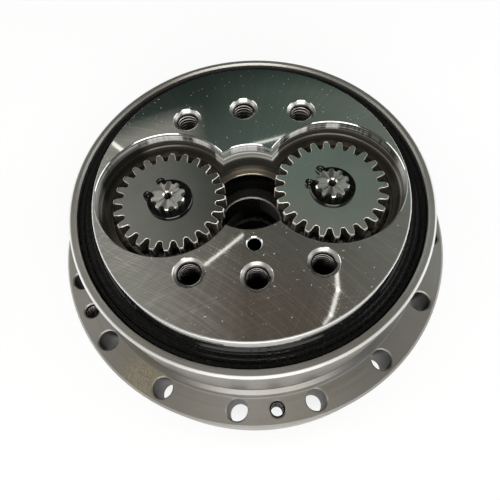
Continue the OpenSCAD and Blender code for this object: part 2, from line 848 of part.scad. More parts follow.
module crank_cage(side, level) {
    overhang = 0.95;
    lift = 0.3;
    half_len = roller_len / 2 + overhang;
    axis_point = function (s, n) [
        roller_pitch_r - s * sin(roller_tilt) + n * cos(roller_tilt),
        roller_z + s * cos(roller_tilt) + n * sin(roller_tilt)
    ];
    color("goldenrod") at_crank_bearing(side, level)
        difference() {
            rotate_extrude() polygon([
                axis_point(-half_len, lift - taper_cage_t / 2),
                axis_point(-half_len, lift + taper_cage_t / 2),
                axis_point(half_len, lift + taper_cage_t / 2),
                axis_point(half_len, lift - taper_cage_t / 2)
            ]);
            at_rollers()
                cube([4 * roller_r, 2 * roller_r + 0.3, roller_len + 0.3], center = true);
        }
}

// Split rings that hold the cups from outside
module cup_snap_rings() {
    gap = 6;
    color("dimgray")
        for (side = [LEFT, RIGHT], level = [UPPER, LOWER]) {
            at_crank(side) translate([0, 0, snap_z(level) + fit]) difference() {
                ring(cup_r - 1.6, groove_r - 0.15, snap_t - 2 * fit);
                translate([0, -gap / 2, -1]) cube([2 * cup_r, gap, snap_t + 2]);
            }
        }
}

// ---- Crankshafts and the parts on them ----

circlip_z = z_gear_top + fit;
circlip_groove_r = spline_tip_r - 1.1;

module crankshaft(side) {
    c = 0.8;
    color("silver")
        difference() {
            union() {
                at_crank(side) {
                    translate([0, 0, crank_foot])
                        chamfered_cylinder(journal_r, z_gear - crank_foot, c);
                    translate([0, 0, z_gear - c]) rotate(spline_phase)
                        intersection() {
                            linear_extrude(z_crank_top - z_gear + c)
                                polygon(toothed_outline(spline_teeth, spline_side(0)));
                            chamfered_cylinder(spline_tip_r, z_crank_top - z_gear + c, 0.5);
                        }
                }
                at_eccentric(side, UPPER) translate([0, 0, z_middle])
                    cylinder(r = eccentric_r, h = z_ecc_top - z_middle);
                at_eccentric(side, LOWER) translate([0, 0, z_ecc_bottom])
                    cylinder(r = eccentric_r, h = z_middle - z_ecc_bottom);
            }
            at_crank(side) {
                translate([0, 0, circlip_z - fit])
                    ring(circlip_groove_r, spline_tip_r + 1, circlip_t + 2 * fit);
                translate([0, 0, z_crank_top]) drilled_hole(centre_hole_r, 6, 0.6);
                translate([0, 0, crank_foot]) mirror([0, 0, 1]) drilled_hole(centre_hole_r, 6, 0.6);
            }
        }
}

module spur_gear(side) {
    color("darkgray") at_crank(side) translate([0, 0, z_gear])
        difference() {
            intersection() {
                rotate(gear_phase) linear_extrude(gear_w) polygon(toothed_outline(gear_teeth, gear_side));
                chamfered_cylinder(gear_tip_r + 0.05, gear_w, gear_chamfer + 0.05);
            }
            rotate(spline_phase) linear_extrude(3 * gear_w, center = true)
                polygon(toothed_outline(spline_teeth, spline_side(fit)));
        }
}

// External retaining ring: widest opposite the gap, with an eyed lug at each end
module gear_circlip(side) {
    inner_r = circlip_groove_r + fit;
    outer_r = inner_r + 3.6;
    gap_angle = 139;
    lug_turn = 26;
    lug_r = inner_r + 3.1;
    color("#1c1c1e") at_crank(side) translate([0, 0, circlip_z]) rotate(gap_angle)
        linear_extrude(circlip_t) difference() {
            union() {
                translate([-0.5, 0]) circle(r = outer_r);
                for (turn = [-lug_turn, lug_turn]) {
                    rotate(turn) translate([lug_r, 0]) circle(r = 2.2, $fn = small_fn);
                }
            }
            circle(r = inner_r);
            polygon([
                [0, 0], [3 * outer_r * cos(lug_turn - 10), -3 * outer_r * sin(lug_turn - 10)],
                [3 * outer_r * cos(lug_turn - 10), 3 * outer_r * sin(lug_turn - 10)]
            ]);
            for (turn = [-lug_turn, lug_turn]) {
                rotate(turn) translate([lug_r + 0.2, 0]) circle(r = 0.9, $fn = small_fn);
            }
        }
}

module crank_washers(side) {
    washer_r = cup_r - 0.4;
    color("gray") at_crank(side) {
        translate([0, 0, z_ecc_top]) ring(journal_r + fit, washer_r, washer_t);
        translate([0, 0, z_cone_lower]) ring(journal_r + fit, washer_r, washer_t);
    }
}

// ---- Needle bearings between the eccentrics and the discs ----

function disc_z(level) = level == UPPER ? z_disc_upper : z_disc_lower;

module at_needles() {
    for (k = [0:needle_count - 1]) {
        rotate(k * 360 / needle_count) translate([needle_pitch_r, 0, 0]) children();
    }
}

module needles(side, level) {
    end = 1.2;
    color("whitesmoke") at_eccentric(side, level) translate([0, 0, disc_z(level) + end])
        at_needles() cylinder(r = needle_r, h = disc_t - 2 * end, $fn = small_fn);
}

module needle_cage(side, level) {
    end = 0.2;
    color("goldenrod") at_eccentric(side, level) translate([0, 0, disc_z(level) + end])
        difference() {
            ring(needle_pitch_r - needle_cage_t / 2, needle_pitch_r + needle_cage_t / 2,
                disc_t - 2 * end);
            translate([0, 0, disc_t / 2 - end]) at_needles()
                cube([3 * needle_cage_t, 2 * needle_r + 0.2, disc_t - 2.2], center = true);
        }
}

case();
ring_pins();
oil_seal();
seal_insert();
garter_spring();
main_outer_race(UPPER);  // main_outer_race_upper
main_outer_race(LOWER);  // main_outer_race_lower
main_balls(UPPER);  // main_balls_upper
main_cage(UPPER);  // main_cage_upper
main_balls(LOWER);  // main_balls_lower
main_cage(LOWER);  // main_cage_lower
output_shaft();
hold_flange();
clamp_bolts();
dowel_pins();
main_inner_race(UPPER);  // main_inner_race_upper
main_inner_race(LOWER);  // main_inner_race_lower
crank_cup(LEFT, UPPER);  // crank_cup_upper_left
crank_cup(RIGHT, UPPER);  // crank_cup_upper_right
crank_cup(LEFT, LOWER);  // crank_cup_lower_left
crank_cup(RIGHT, LOWER);  // crank_cup_lower_right
cup_snap_rings();
crankshaft(LEFT);  // crankshaft_left
crankshaft(RIGHT);  // crankshaft_right
spur_gear(LEFT);  // spur_gear_left
spur_gear(RIGHT);  // spur_gear_right
gear_circlip(LEFT);  // gear_circlip_left
gear_circlip(RIGHT);  // gear_circlip_right
crank_cone(LEFT, UPPER);  // crank_cone_upper_left
crank_cone(RIGHT, UPPER);  // crank_cone_upper_right
crank_cone(LEFT, LOWER);  // crank_cone_lower_left
crank_cone(RIGHT, LOWER);  // crank_cone_lower_right
crank_washers(LEFT);  // crank_washers_left
crank_washers(RIGHT);  // crank_washers_right
crank_rollers(LEFT, UPPER);  // crank_rollers_upper_left
crank_rollers(RIGHT, UPPER);  // crank_rollers_upper_right
crank_rollers(LEFT, LOWER);  // crank_rollers_lower_left
crank_rollers(RIGHT, LOWER);  // crank_rollers_lower_right
crank_cage(LEFT, UPPER);  // crank_cage_upper_left
crank_cage(RIGHT, UPPER);  // crank_cage_upper_right
crank_cage(LEFT, LOWER);  // crank_cage_lower_left
crank_cage(RIGHT, LOWER);  // crank_cage_lower_right
cycloid_disc(UPPER, z_disc_upper);  // cycloid_disc_upper
cycloid_disc(LOWER, z_disc_lower);  // cycloid_disc_lower
needles(LEFT, UPPER);  // needles_upper_left
needles(RIGHT, UPPER);  // needles_upper_right
needles(LEFT, LOWER);  // needles_lower_left
needles(RIGHT, LOWER);  // needles_lower_right
needle_cage(LEFT, UPPER);  // needle_cage_upper_left
needle_cage(RIGHT, UPPER);  // needle_cage_upper_right
needle_cage(LEFT, LOWER);  // needle_cage_lower_left
needle_cage(RIGHT, LOWER);  // needle_cage_lower_right
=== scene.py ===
import json
from math import cos, pi, radians, sin

import bmesh
import bpy
from mathutils import Matrix, Vector, noise


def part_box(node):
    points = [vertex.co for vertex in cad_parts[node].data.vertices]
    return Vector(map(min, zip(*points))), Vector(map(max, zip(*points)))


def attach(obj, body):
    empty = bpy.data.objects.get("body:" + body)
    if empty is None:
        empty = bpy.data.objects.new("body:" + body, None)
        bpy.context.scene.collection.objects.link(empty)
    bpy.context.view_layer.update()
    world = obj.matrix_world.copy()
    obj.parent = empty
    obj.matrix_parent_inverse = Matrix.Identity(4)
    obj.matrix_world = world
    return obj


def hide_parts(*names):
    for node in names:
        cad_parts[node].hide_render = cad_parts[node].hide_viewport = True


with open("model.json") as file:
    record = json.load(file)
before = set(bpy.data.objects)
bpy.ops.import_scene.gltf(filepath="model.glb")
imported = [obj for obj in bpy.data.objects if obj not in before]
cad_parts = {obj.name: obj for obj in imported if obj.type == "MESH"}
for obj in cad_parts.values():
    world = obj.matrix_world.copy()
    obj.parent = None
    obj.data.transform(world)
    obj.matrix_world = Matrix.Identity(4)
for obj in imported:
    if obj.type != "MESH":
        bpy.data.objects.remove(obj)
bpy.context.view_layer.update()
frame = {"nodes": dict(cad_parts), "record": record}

mounts = {mount["name"]: mount for mount in frame["record"]["mounts"]}


# ---- Case ----
# The outer ring of the reducer: a steel casting turned all over, ground on its register and rim,
# and drilled round its flange. It holds the pins, the outer races and the seal.

class Wire:
    """One output of a finish's nodes. Arithmetic on it adds the Math nodes."""

    def __init__(self, finish, socket):
        self.finish = finish
        self.socket = socket

    def maths(self, operation, *values):
        return self.finish.node("ShaderNodeMath", {"operation": operation}, dict(enumerate(values)))

    def __add__(self, other):
        return self.maths("ADD", self, other)

    def __sub__(self, other):
        return self.maths("SUBTRACT", self, other)

    def __rsub__(self, other):
        return self.maths("SUBTRACT", other, self)

    def __mul__(self, other):
        return self.maths("MULTIPLY", self, other)

    def __truediv__(self, other):
        return self.maths("DIVIDE", self, other)

    def __pow__(self, other):
        return self.maths("POWER", self, other)

    __radd__ = __add__
    __rmul__ = __mul__

    def absolute(self):
        return self.maths("ABSOLUTE", self)

    def larger(self, other):
        return self.maths("MAXIMUM", self, other)

    def smaller(self, other):
        return self.maths("MINIMUM", self, other)

    def step(self, low, high):
        """0 at low, 1 at high and beyond; low may be the greater of the two."""
        return self.finish.node(
            "ShaderNodeMapRange", {"clamp": True},
            {"Value": self, "From Min": low, "From Max": high})


class Finish:
    """The nodes of one material, or of the world."""

    def __init__(self, tree):
        self.tree = tree

    def feed(self, made, sockets):
        """Links wires to a node's sockets, and sets plain values on them."""
        for key, value in sockets.items():
            if isinstance(value, Wire):
                self.tree.links.new(value.socket, made.inputs[key])
            else:
                made.inputs[key].default_value = value

    def node(self, kind, settings, sockets, output=0):
        """Adds a node and gives one of its outputs."""
        made = self.tree.nodes.new(kind)
        for name, value in settings.items():
            if name == "stops":
                ramp = made.color_ramp
                for stop in value[2:]:
                    ramp.elements.new(stop[0])
                for element, (place, colour) in zip(ramp.elements, sorted(value)):
                    element.position = place
                    element.color = (*colour, 1)
            else:
                setattr(made, name, value)
        self.feed(made, sockets)
        return Wire(self, made.outputs[output])

    def split(self, vector):
        """The X, Y and Z parts of a vector."""
        return [self.node("ShaderNodeSeparateXYZ", {}, {0: vector}, axis) for axis in range(3)]

    def join(self, x, y, z):
        return self.node("ShaderNodeCombineXYZ", {}, {0: x, 1: y, 2: z})

    def place(self, centre=(0, 0, 0), turn=0):
        """Object coordinates from a point on the piece, turned about Z."""
        where = self.node("ShaderNodeTexCoord", {}, {}, "Object")
        moved = self.node("ShaderNodeMapping", {}, {
            "Vector": where, "Location": tuple(-c for c in centre)})
        return self.node("ShaderNodeMapping", {}, {"Vector": moved, "Rotation": (0, 0, turn)})

    def facing(self):
        """The direction in which the surface faces, in the piece's own axes."""
        return self.split(self.node("ShaderNodeTexCoord", {}, {}, "Normal"))

    def noise(self, vector, scale, detail):
        return self.node("ShaderNodeTexNoise", {}, {
            "Vector": vector, "Scale": scale, "Detail": detail, "Roughness": 0.5})

    def round_marks(self, centre, across, around):
        """Marks left by a lathe tool: quick across the radius and along Z, slow round the axis."""
        x, y, z = self.split(self.place(centre))
        squared = x * x + y * y
        radius = squared.maths("SQRT", squared)
        return self.noise(self.join(
            (radius + z) * across, x / radius * around, y / radius * around), 1, 2)

    def scratches(self, turn, across, along, rarity):
        """Hairline scratches in one direction; the higher the rarity, the fewer of them."""
        x, y, z = self.split(self.place((0, 0, 0), turn))
        streaks = self.noise(self.join(x * across, y * along, z * along), 1, 1)
        return streaks.step(rarity, rarity + 0.05)

    def mix(self, first, second, factor):
        """A colour between two; each is a wire or a plain colour."""
        colours = {6: first if isinstance(first, Wire) else (*first, 1),
                   7: second if isinstance(second, Wire) else (*second, 1)}
        return self.node("ShaderNodeMix", {"data_type": "RGBA", "clamp_factor": True},
                         {0: factor, **colours}, 2)

    def bump(self, height, distance, strength=1.0):
        return self.node("ShaderNodeBump", {}, {
            "Height": height, "Distance": distance, "Strength": strength})


def from_axis(x, y):
    """The distance from an axis, when x and y are measured from it."""
    return (x * x + y * y) ** 0.5


def new_finish(name, **fixed):
    """A material with one Principled shader; fixed values go on its own sockets."""
    material = bpy.data.materials.new(name)
    material.use_nodes = True
    finish = Finish(material.node_tree)
    finish.material = material
    finish.shader = material.node_tree.nodes["Principled BSDF"]
    finish.feed(finish.shader, {key.replace("_", " "): value for key, value in fixed.items()})
    return finish


def cad_mesh(node):
    return frame["nodes"][node].data


def dress(node, finish):
    """Gives a CAD solid its finish."""
    mesh = cad_mesh(node)
    mesh.materials.clear()
    mesh.materials.append(finish.material)


def piece(name, work, finishes, body):
    """Makes a finished bmesh an object that rides on a body."""
    mesh = bpy.data.meshes.new(name)
    work.to_mesh(mesh)
    work.free()
    for finish in finishes:
        mesh.materials.append(finish.material)
    made = bpy.data.objects.new(name, mesh)
    bpy.context.scene.collection.objects.link(made)
    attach(made, body)
    return made


def turned_steel(name, colour, tint, roughness, centre, anisotropy, marks=1.0):
    """Turned or ground steel: tool marks round an axis, patches of oil, fine scratches."""
    finish = new_finish(name, Metallic=1.0, Anisotropic=anisotropy, Anisotropic_Rotation=0.25)
    tool = finish.round_marks(centre, 2600, 1.3)
    bands = finish.round_marks(centre, 330, 0.5)
    oil = finish.noise(finish.place(centre), 38, 3)
    shade = finish.mix(colour, tint, oil.step(0.4, 0.68))
    worn = finish.mix(shade, tuple(0.55 * c for c in colour), (bands - 0.5) * 0.8 * marks)
    finish.feed(finish.shader, {
        "Base Color": worn,
        "Roughness": roughness + (bands - 0.5) * (0.16 * marks) + oil.step(0.45, 0.7) * -0.05,
        "Normal": finish.bump(tool, 0.000012 * marks, 0.6)})
    return finish


case_grey = (0.34, 0.333, 0.318)
case_warm = (0.31, 0.295, 0.265)
case_groove = (0.215, 0.208, 0.196)
case_shadow = (0.06, 0.06, 0.057)
edge_highlight_colour = (0.95, 0.95, 0.93)
dried_oil = (0.62, 0.51, 0.29)
stain_x, stain_y, stain_size = -0.0540, -0.0700, 0.014
flange_z = mounts["flange_face"]["pos_m"][2]
flange_r, rim_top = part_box("case")[1][0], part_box("case")[1][2]
register_r, foot_r, foot_height = 0.0800, 0.0840, 0.0065
case_finish = new_finish("case_turned_steel", Metallic=1.0, Anisotropic=0.45,
                         Anisotropic_Rotation=0.25)
case_marks = case_finish.round_marks((0, 0, 0), 2400, 1.2)
case_bands = case_finish.round_marks((0, 0, 0), 520, 0.5)
case_film = case_finish.noise(case_finish.place(), 34, 4)
case_pits = case_finish.noise(case_finish.place(), 1500, 2).step(0.66, 0.74)
near_x, near_y = case_finish.split(case_finish.place((stain_x, stain_y, 0)))[:2]
stain = from_axis(near_x, near_y).step(stain_size, stain_size * 0.2)
flecks = case_finish.noise(case_finish.place(), 1300, 2).step(0.47, 0.56) * stain
case_grooves = (case_bands.step(0.55, 0.75) * 0.35).larger(case_pits * 0.4)
case_shade = case_finish.mix(
    case_finish.mix(case_grey, case_warm, case_film.step(0.4, 0.62)), case_groove, case_grooves)

# The holes and the foot of the register get painted shadow; a thin painted highlight runs round the
# top edge.
case_x, case_y, case_z = case_finish.split(case_finish.place())
case_r = from_axis(case_x, case_y)
on_side = case_finish.facing()[2].absolute().step(0.5, 0.3)
below_flange = case_z.step(flange_z, flange_z - 0.0003)
in_hole = on_side * below_flange * case_r.step(flange_r - 0.0005, flange_r - 0.0010)
at_foot = (case_z.step(flange_z + foot_height, flange_z + foot_height - 0.0030)
           * case_z.step(flange_z + 0.0001, flange_z + 0.0004)
           * case_r.step(foot_r, foot_r - 0.0010))
# Painted highlight: a thin bright line round the outer top edge of the rim.
painted_edge_highlight = (case_r.step(register_r - 0.0014, register_r - 0.0007)
               * case_z.step(rim_top - 0.0015, rim_top - 0.0009))
case_shade = case_finish.mix(case_shade, edge_highlight_colour, painted_edge_highlight * 0.6)
case_shade = case_finish.mix(case_shade, dried_oil, flecks * 0.55)
case_finish.feed(case_finish.shader, {
    "Base Color": case_finish.mix(case_shade, case_shadow, in_hole * 0.85 + at_foot * 0.55),
    "Roughness": 0.37 + (case_bands - 0.5) * 0.14 + case_film * 0.05,
    "Normal": case_finish.bump(case_marks + case_pits * 0.6, 0.000016, 0.7)})
dress("case", case_finish)


def inside_thread(work, x, y, top, bottom, wall, depth, pitch):
    """The ridge of a right-hand thread that stands in from a hole's wall."""
    steps = 28
    turns = int((top - bottom) / pitch) - 1
    root, crest = wall + 0.00004, wall - depth
    profile = [(root, 0.0), (root, -0.80 * pitch), (crest, -0.60 * pitch), (crest, -0.32 * pitch)]
    corners = [work.verts.new((x + r, y, top + z)) for r, z in profile]
    face = work.faces.new(corners)
    bmesh.ops.spin(work, geom=[face, *face.edges, *corners], cent=(x, y, 0), axis=(0, 0, -1),
                   dvec=(0, 0, -pitch / steps), angle=2 * pi * turns, steps=steps * turns,
                   use_merge=False)


def light_crests(work):
    """Gives the crests of a thread the second finish."""
    work.normal_update()
    for face in work.faces:
        face.material_index = 1 if abs(face.normal.z) < 0.3 else 0


def smooth_below(work, angle):
    """Shades faces smooth, with the edges above the angle left crisp."""
    work.normal_update()
    for face in work.faces:
        face.smooth = True
    for edge in work.edges:
        edge.smooth = edge.is_manifold and edge.calc_face_angle() < angle


def thread_finishes(name, top):
    """Cut steel for a thread: near-black flanks as painted shade, and crests with painted light
    that gives way to painted shade with depth and on the sides that face away from the light.
    """
    # The flanks' near-black colour is painted shade in the thread's valleys.
    flanks = turned_steel(f"{name}_flanks", (0.010, 0.0095, 0.008), (0.004, 0.004, 0.0035), 0.45,
                          (0, 0, 0), 0.0, 0.4)
    crests = new_finish(f"{name}_crests")
    z = crests.split(crests.place())[2]
    fade = z.step(top - 0.0140, top - 0.0020)
    grain = crests.noise(crests.place(), 260, 2)
    facing_x, facing_y = crests.facing()[:2]
    to_side = facing_x.absolute().step(0.25, 0.55) * 0.9
    crest_light = to_side.larger(z.step(top - 0.0060, top - 0.0040))
    crest_light = crest_light * (facing_x * 0.4 - facing_y).step(-0.45, 0.25)
    # Painted light on the crests: bright near the mouth and on the sides that face the light, dark
    # as painted shade deeper down.
    crests.feed(crests.shader, {
        "Base Color": crests.mix((0.012, 0.011, 0.010), (1.0, 0.98, 0.92),
                                 fade * crest_light * (0.6 + grain.step(0.38, 0.55) * 0.4)),
        "Metallic": 1 - fade * 0.95,
        "Roughness": 0.28 + grain * 0.1})
    return flanks, crests


thread_depth, thread_crease = 0.0006, radians(35)
jack_pitch = 0.00125
jack_work = bmesh.new()
for number in range(1, 5):
    hole = mounts[f"jack_hole_{number}"]
    jack_x, jack_y, jack_top = hole["pos_m"]
    inside_thread(jack_work, jack_x, jack_y, jack_top,
                  jack_top - hole["dims"]["length_mm"] / 1000,
                  hole["dims"]["r_mm"] / 1000, thread_depth, jack_pitch)
bmesh.ops.recalc_face_normals(jack_work, faces=jack_work.faces)
light_crests(jack_work)
smooth_below(jack_work, thread_crease)
piece("jack_hole_threads", jack_work, thread_finishes("jack_thread", jack_top), "case")


# ---- Ring pins ----
# Hardened bearing-steel pins that lie in the half-round grooves of the case. Their sides are
# ground and lapped, and an oil film keeps them bright.

def polished_steel(name, colour, roughness, metallic=1.0):
    """Lapped bearing steel with a faint oily cast and the odd fine scratch."""
    finish = new_finish(name, Metallic=metallic)
    cast = finish.noise(finish.place(), 160, 2)
    hair = finish.scratches(0.7, 9000, 300, 0.66)
    finish.feed(finish.shader, {
        "Base Color": finish.mix(colour, tuple(0.82 * c for c in colour), cast.step(0.42, 0.7)),
        "Roughness": roughness + cast * 0.06 + hair * 0.12})
    return finish


pin_finish = polished_steel("lapped_pin_steel", (0.60, 0.60, 0.59), 0.10)
dress("ring_pins", pin_finish)


# ---- Main bearings ----
# Two angular-contact ball bearings carry the output shaft in the case. The races are ground
# bearing steel, the balls are polished, and a brass cage spaces the balls.

race_finish = turned_steel(
    "ground_race_steel", (0.52, 0.52, 0.53), (0.46, 0.45, 0.44), 0.22, (0, 0, 0), 0.4, 0.6)
for level in ("upper", "lower"):
    dress(f"main_outer_race_{level}", race_finish)
    dress(f"main_inner_race_{level}", race_finish)

ball_finish = polished_steel("polished_ball_steel", (0.68, 0.68, 0.68), 0.05)
cage_finish = turned_steel(
    "machined_brass", (0.62, 0.45, 0.20), (0.48, 0.33, 0.15), 0.30, (0, 0, 0), 0.2, 0.8)
for level in ("upper", "lower"):
    dress(f"main_balls_{level}", ball_finish)
    dress(f"main_cage_{level}", cage_finish)


# ---- Cycloid discs ----
# Two case-hardened discs with a dark phosphate coat, ground bright on the lobes and in the
# bores. A thin painted highlight rings the edge of each bore on the faces.

def middle_of(node):
    low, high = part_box(node)
    return tuple((a + b) / 2 for a, b in zip(low, high))


disc_bore_r, disc_lobe_r = 0.0144, 0.0600
for level in ("upper", "lower"):
    at = middle_of(f"cycloid_disc_{level}")
    disc_finish = new_finish(f"phosphated_disc_{level}", Metallic=0.85, Coat_Weight=0.15)
    disc_x, disc_y = disc_finish.split(disc_finish.place((at[0], at[1], 0)))[:2]
    disc_r = from_axis(disc_x, disc_y)
    # Painted highlight: a thin bright ring on the faces at the edge of the bore.
    bore_edge_highlight = (disc_r.step(disc_bore_r + 0.00095, disc_bore_r + 0.00060)
                 * disc_r.step(disc_bore_r + 0.00002, disc_bore_r + 0.00007))
    lobes = disc_r.step(disc_lobe_r - 0.0005, disc_lobe_r)
    disc_grain = disc_finish.noise(disc_finish.place(), 800, 3)
    phosphate = disc_finish.mix(
        (0.035, 0.034, 0.033), (0.075, 0.07, 0.064), disc_grain.step(0.35, 0.7))
    disc_finish.feed(disc_finish.shader, {
        "Base Color": disc_finish.mix(
            phosphate, (0.55, 0.54, 0.52), bore_edge_highlight.larger(lobes)),
        "Roughness": 0.42 + disc_grain * 0.12,
        "Normal": disc_finish.bump(disc_grain, 0.00003)})
    dress(f"cycloid_disc_{level}", disc_finish)


# ---- Crankshafts ----
# Each crankshaft is ground from one bar, with two opposed eccentrics and a splined end; the
# spline is hobbed. Bright and dark wedges round the axis are painted reflections, and the centre
# hole is painted dark as shade.

crank_lit_facet, crank_shaded_facet = (0.66, 0.655, 0.64), (0.22, 0.21, 0.195)
centre_hole_r = 0.0016
for side in ("left", "right"):
    at = middle_of(f"spur_gear_{side}")
    crank_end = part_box(f"crankshaft_{side}")[1][2]
    crank_finish = new_finish(f"ground_crank_{side}", Metallic=1.0, Anisotropic=0.8,
                              Anisotropic_Rotation=0.25)
    crank_x, crank_y, crank_z = crank_finish.split(crank_finish.place((at[0], at[1], 0)))
    crank_r = from_axis(crank_x, crank_y)
    # Painted shade: the centre hole in the end is near black.
    centre_hole = (crank_r.step(centre_hole_r, centre_hole_r - 0.0003)
                   * crank_z.step(crank_end - 0.0002, crank_end - 0.0005))
    # Painted reflections: bright and dark wedges round the axis.
    painted_facets = crank_finish.noise(crank_finish.join(
        crank_x / crank_r * 2.2, crank_y / crank_r * 2.2, crank_r * 90), 1, 1)
    crank_marks = crank_finish.round_marks((at[0], at[1], 0), 2600, 1.3)
    crank_finish.feed(crank_finish.shader, {
        "Base Color": crank_finish.mix(
            crank_finish.mix(crank_shaded_facet, crank_lit_facet, painted_facets.step(0.40, 0.56)),
            (0.01, 0.01, 0.01), centre_hole),
        "Roughness": 0.20 + painted_facets * 0.12,
        "Normal": crank_finish.bump(crank_marks, 0.000012, 0.7)})
    dress(f"crankshaft_{side}", crank_finish)
    dress(f"crank_washers_{side}", race_finish)


# ---- Crank bearings and needle bearings ----
# Tapered roller bearings hold the crankshafts in the output shaft and the hold flange, and
# caged needles run between the eccentrics and the discs. All are through-hardened and oiled.

snap_finish = new_finish("oiled_snap_ring", Metallic=1.0, Roughness=0.35, Coat_Weight=0.4)
snap_finish.feed(snap_finish.shader, {
    "Base Color": snap_finish.mix(
        (0.10, 0.10, 0.10), (0.17, 0.165, 0.155),
        snap_finish.noise(snap_finish.place(), 260, 3).step(0.4, 0.7))})
dress("cup_snap_rings", snap_finish)
for side in ("left", "right"):
    for level in ("upper", "lower"):
        dress(f"crank_cup_{level}_{side}", race_finish)
        dress(f"crank_cone_{level}_{side}", race_finish)
        dress(f"crank_rollers_{level}_{side}", ball_finish)
        dress(f"crank_cage_{level}_{side}", cage_finish)
        dress(f"needles_{level}_{side}", ball_finish)
        dress(f"needle_cage_{level}_{side}", cage_finish)


# ---- Output shaft ----
# The driven head and its two columns are one forging. Its face is turned to a near mirror and
# carries fine hand scratches; the gear pockets are milled in steps, and six holes are tapped.

corner_dims = mounts["output_taps_corners"]["dims"]
middle_dims = mounts["output_taps_middle"]["dims"]
tap_top = mounts["output_taps_corners"]["pos_m"][2]
tap_wall = corner_dims["hole_r_mm"] / 1000
half_x = corner_dims["spacing_x_mm"] / 2000
half_y = corner_dims["spacing_y_mm"] / 2000
middle_y = middle_dims["spacing_y_mm"] / 2000
tap_places = [(sx * half_x, sy * half_y) for sx in (-1, 1) for sy in (-1, 1)]
tap_places += [(0, -middle_y), (0, middle_y)]

shaft_grey, shaft_warm = (0.375, 0.39, 0.375), (0.365, 0.355, 0.34)
scratch_and_sheen_bright = (0.85, 0.83, 0.80)
# The dark tones for the walls, the bore and the first thread stand in for shade; the floor and
# ledge tones are oil.
wall_dark, floor_oil, ledge_oil = (0.035, 0.034, 0.028), (0.11, 0.098, 0.080), (0.24, 0.21, 0.165)
bore_shadow, thread_groove_shadow = (0.012, 0.0115, 0.011), (0.02, 0.019, 0.017)
face_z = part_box("output_shaft")[1][2]
floor_depth, bore_depth, mouth_depth = 0.0138, 0.0188, 0.0012
rim_r, bore_r, ledge_r, central_half = 0.067, 0.0186, 0.0225, 0.0150
pin_hole_y, pin_hole_r = mounts["locating_hole"]["pos_m"][1], 0.0029
shaft_finish = new_finish("turned_shaft_steel", Anisotropic=0.4, Anisotropic_Rotation=0.25)
shaft_x, shaft_y, shaft_z = shaft_finish.split(shaft_finish.place())
shaft_r = from_axis(shaft_x, shaft_y)
far_x, far_y = shaft_x.absolute(), shaft_y.absolute()
depth = face_z - shaft_z


def within(x, y, radius):
    """1 inside a circle, with a soft edge."""
    return from_axis(x, y).step(radius + 0.0004, radius + 0.0001)


# Where each part of the shaft is: the holes, the pockets' walls and floor, the bore, the rim.
tapped = within(far_x - half_x, far_y - half_y, tap_wall + 0.0018)
tapped = tapped.larger(within(shaft_x, far_y - middle_y, tap_wall + 0.0018))
pin_hole = within(shaft_x, shaft_y - pin_hole_y, pin_hole_r) * depth.step(0.0007, 0.0010)
drilled = (tapped * depth.step(0.0016, 0.0019)).larger(pin_hole)
sunk = depth.step(0.0002, 0.0005) * (1 - tapped * depth.step(0.0017, 0.0014))
rimward = shaft_r.step(rim_r - 0.001, rim_r + 0.001)
central = far_x.step(central_half, central_half - 0.0008)
on_floor = depth.step(floor_depth - 0.0030, floor_depth) * (1 - central)
ledge = (depth.step(bore_depth - 0.0004, bore_depth) * shaft_r.step(bore_r, bore_r + 0.0003)
         * shaft_r.step(ledge_r, ledge_r - 0.0005))
in_bore = (depth.step(bore_depth, bore_depth + 0.0004) * (1 - ledge)).larger(drilled)
near_top = depth.step(0.0050, 0.0042)
mouth = sunk * depth.step(mouth_depth, mouth_depth - 0.0003)
tap_mouth = tapped * depth.step(0.0001, 0.0003) * (1 - sunk)
first_thread = tap_mouth * depth.step(0.00125, 0.00132)

# The milled walls: rings of cutter marks, upright patches of painted reflection where they mirror
# the room, and painted light and shade that change with depth, from the top edge down to
# tone_depth.
tone_depth = 0.020
wall_marks = shaft_finish.noise(
    shaft_finish.join(depth * 2100, shaft_x * 22, shaft_y * 22), 1, 3)
wall_bands = shaft_finish.noise(
    shaft_finish.join(depth * 620, shaft_x * 9, shaft_y * 9), 1, 2)
wall_reflections = shaft_finish.noise(
    shaft_finish.join(shaft_x * 85, shaft_y * 45, 0.4), 1, 1).step(0.44, 0.50)
window_reflection = (shaft_x + 0.0012).absolute().step(0.0062, 0.0056)
wall_reflections = wall_reflections * (1 - central) + (0.25 + window_reflection * 0.75) * central
reflection_bars = shaft_finish.noise(shaft_finish.join(shaft_x * 800, shaft_y * 500, 0), 1, 1)
wall_depth = depth / tone_depth
# Painted light and shade by depth: bright bands near the top edge, dark below.
pocket_light_and_shade = shaft_finish.node("ShaderNodeValToRGB", {"stops": [
    (0.0, (0.17, 0.17, 0.165)), (0.05, (0.30, 0.30, 0.285)), (0.07, (1.0, 1.0, 0.97)),
    (0.19, (0.80, 0.81, 0.77)), (0.24, (0.22, 0.215, 0.19)), (0.38, (0.11, 0.104, 0.09)),
    (0.405, (0.34, 0.32, 0.285)), (0.43, (0.19, 0.175, 0.15)), (0.55, (0.10, 0.09, 0.075))]},
    {0: wall_depth})
central_light_and_shade = shaft_finish.node("ShaderNodeValToRGB", {"stops": [
    (0.0, (0.35, 0.35, 0.34)), (0.05, (1.0, 1.0, 0.97)), (0.20, (1.0, 1.0, 0.97)),
    (0.23, (0.26, 0.27, 0.25)), (0.30, (0.85, 0.85, 0.81)), (0.33, (0.30, 0.30, 0.27)),
    (0.43, (0.66, 0.65, 0.61)), (0.46, (0.22, 0.215, 0.19)), (0.60, (0.14, 0.138, 0.12)),
    (0.86, (0.09, 0.088, 0.078)), (0.93, (0.14, 0.132, 0.115)), (1.0, (0.17, 0.16, 0.135))]},
    {0: wall_depth})
